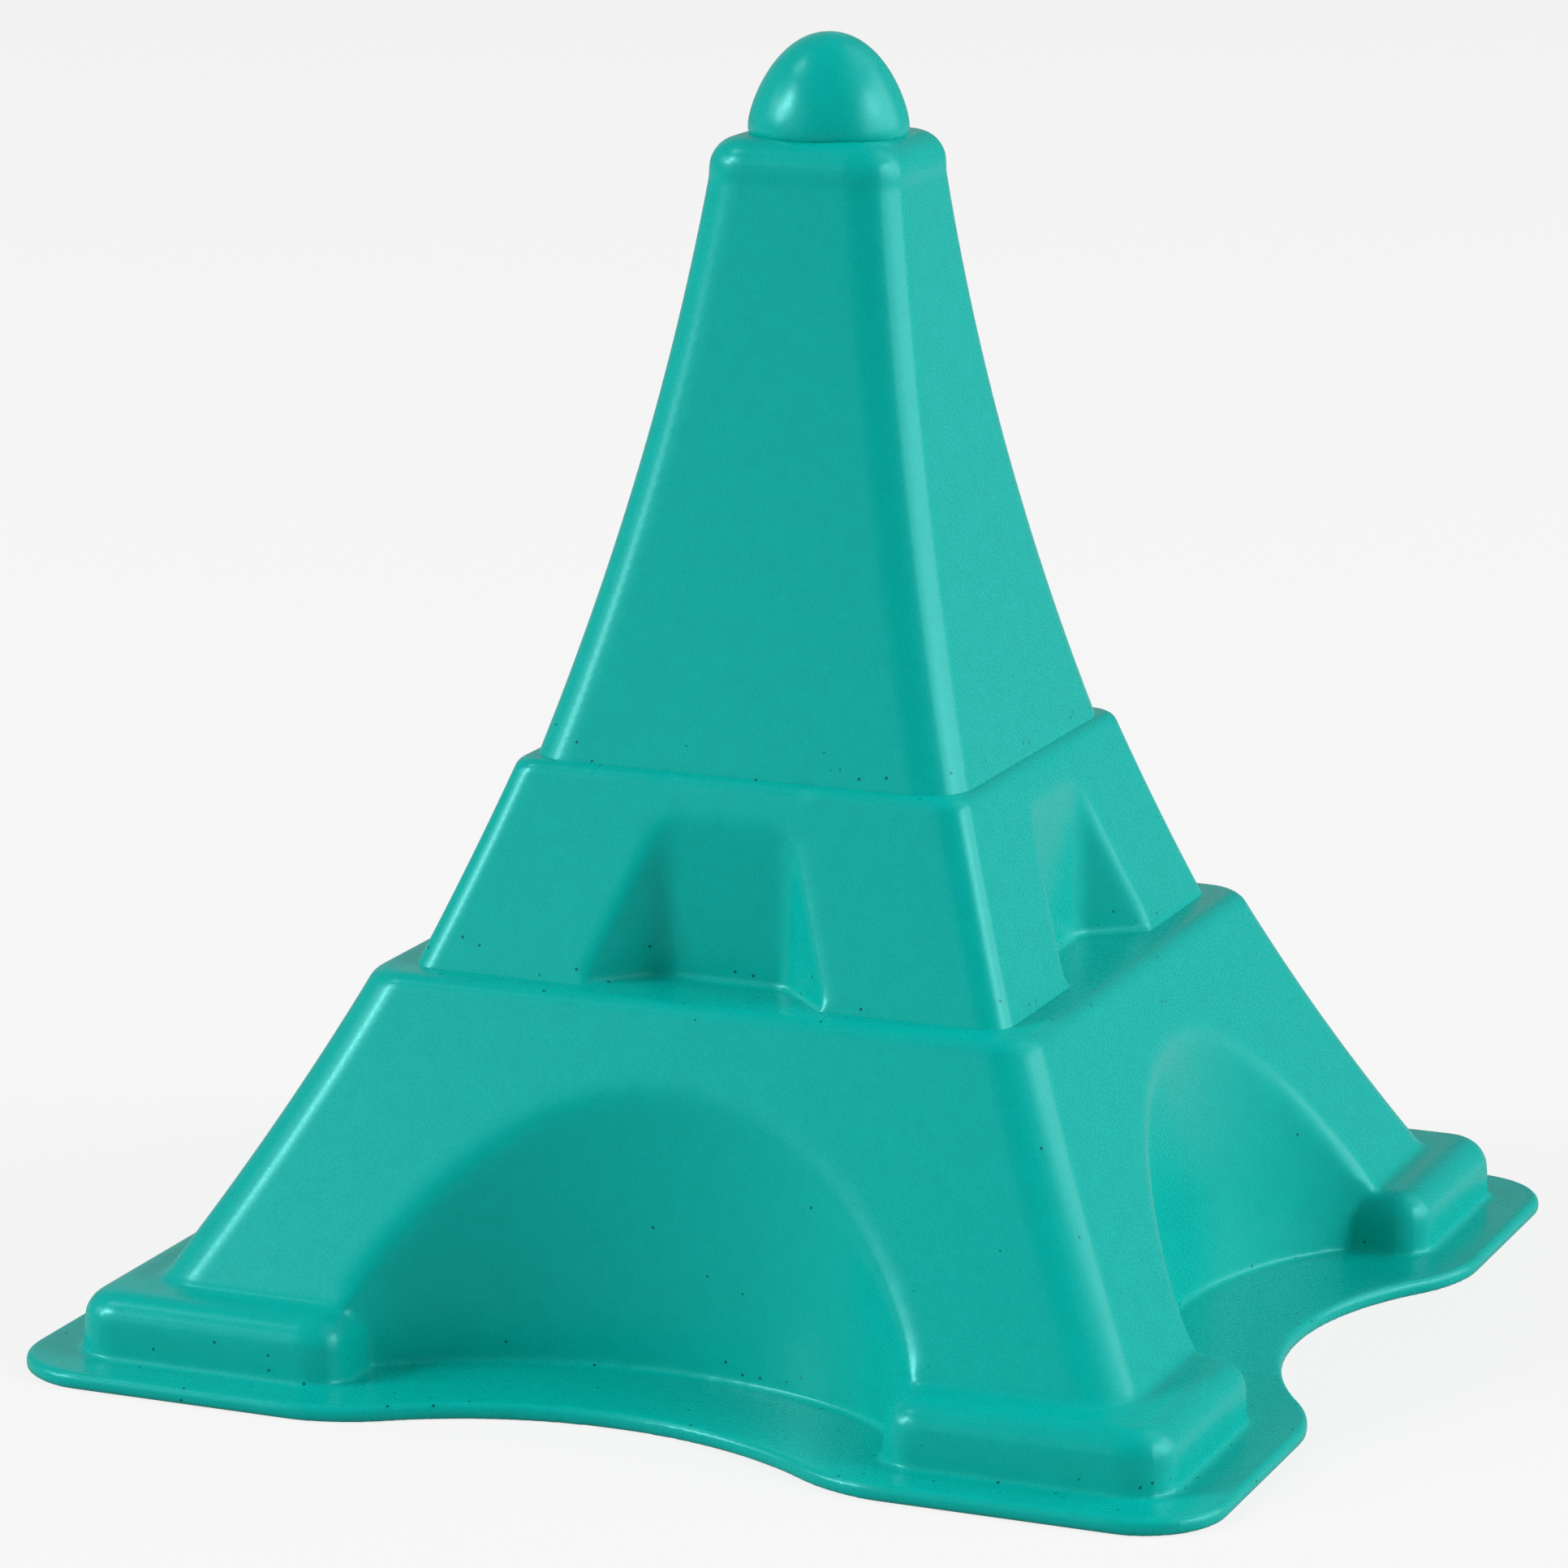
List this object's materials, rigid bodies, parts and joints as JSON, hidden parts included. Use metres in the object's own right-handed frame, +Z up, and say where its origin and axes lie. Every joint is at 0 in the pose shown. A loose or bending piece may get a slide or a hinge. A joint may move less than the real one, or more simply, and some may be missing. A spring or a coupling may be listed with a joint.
{
  "type": "sand mould",
  "caption": "Hollow tapering tower mould on arched legs, with stepped platforms, a domed tip and a flat rim, open underneath for packing with damp sand.",
  "frame": {"origin": "centre of the base, on the surface that the rim rests on", "axes": "+Z up along the tower to the tip of the dome, -Y out of the side that faces the camera most, +X to that side's right"},
  "size_m": [0.192, 0.192, 0.2],
  "materials": {
    "plastic": "teal polypropylene with a fine spark-eroded matte grain, coloured through"
  },
  "bodies": {
    "root": {"rim_flange": "plastic", "foot_front_left": "plastic", "foot_front_right": "plastic", "foot_back_right": "plastic", "foot_back_left": "plastic", "leg_front_left": "plastic", "leg_front_right": "plastic", "leg_back_right": "plastic", "leg_back_left": "plastic", "arch_front": "plastic", "arch_right": "plastic", "arch_back": "plastic", "arch_left": "plastic", "first_platform": "plastic", "middle_stage": "plastic", "second_platform": "plastic", "spire": "plastic", "cap": "plastic", "dome": "plastic"}
  },
  "joints": []
}
